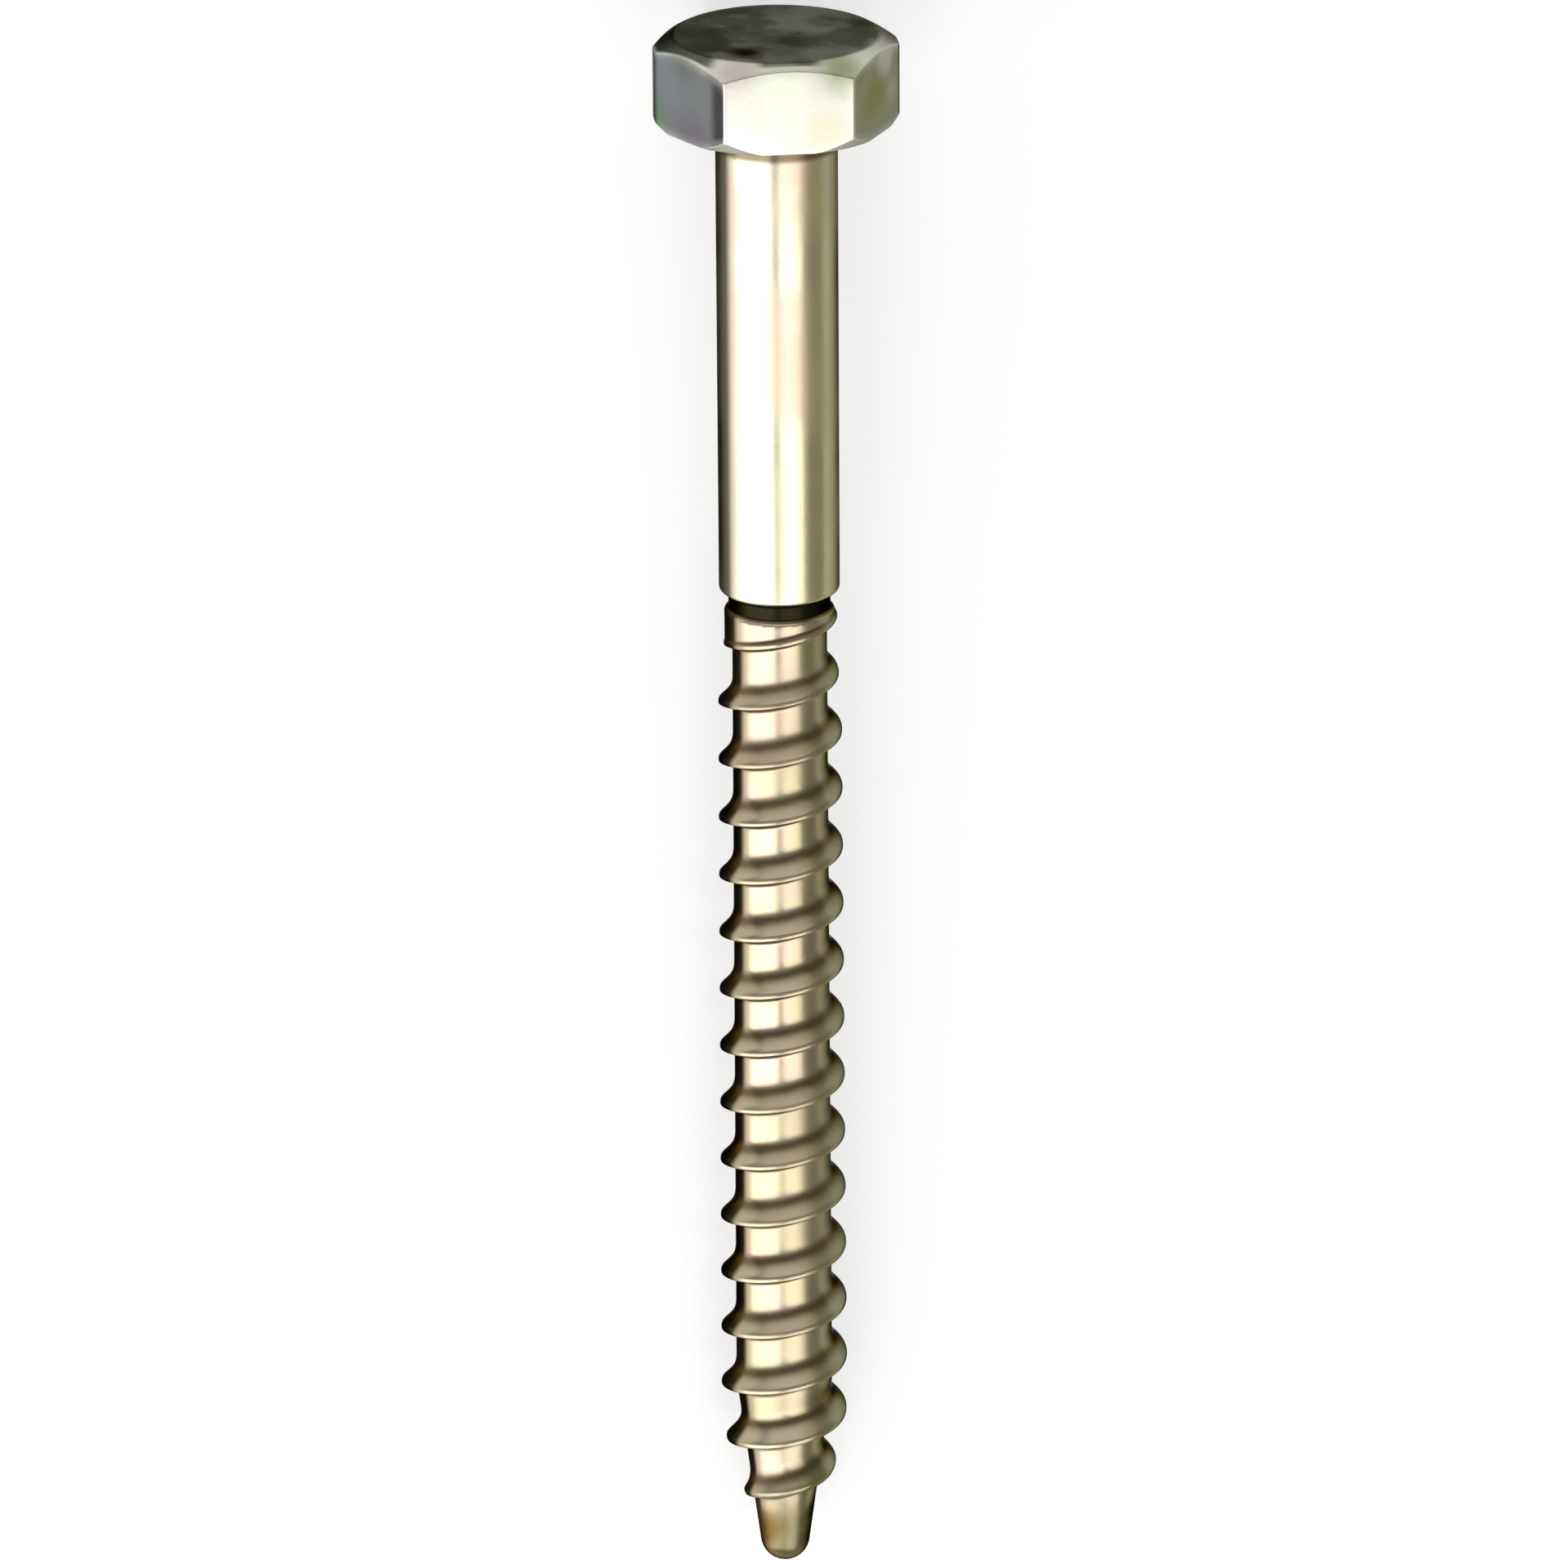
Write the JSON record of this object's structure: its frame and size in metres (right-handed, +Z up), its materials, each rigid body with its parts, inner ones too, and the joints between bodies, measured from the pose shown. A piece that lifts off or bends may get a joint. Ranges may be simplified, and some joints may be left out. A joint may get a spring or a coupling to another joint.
{
  "type": "lag screw",
  "caption": "Hexagon head wood screw with a plain shank, a coarse right-hand wood thread and a blunt tapered point, lying at rest.",
  "frame": {"origin": "The middle of the underside of the screw's box, on the ground it lies on.", "axes": "The screw lies along X with its point towards +X and its head towards -X, +Z is up, and one flat of the head faces down. The point leans down by 1.9 degrees, because the screw rests on its head's flat and on a crest of its thread."},
  "size_m": [0.0954, 0.014, 0.013],
  "materials": {
    "yellow_zinc_steel": "Cold-forged and thread-rolled steel with a bright yellow zinc passivation: pale straw gold with pink and green tints."
  },
  "bodies": {
    "root": {"lag_screw": "yellow_zinc_steel"}
  },
  "joints": []
}
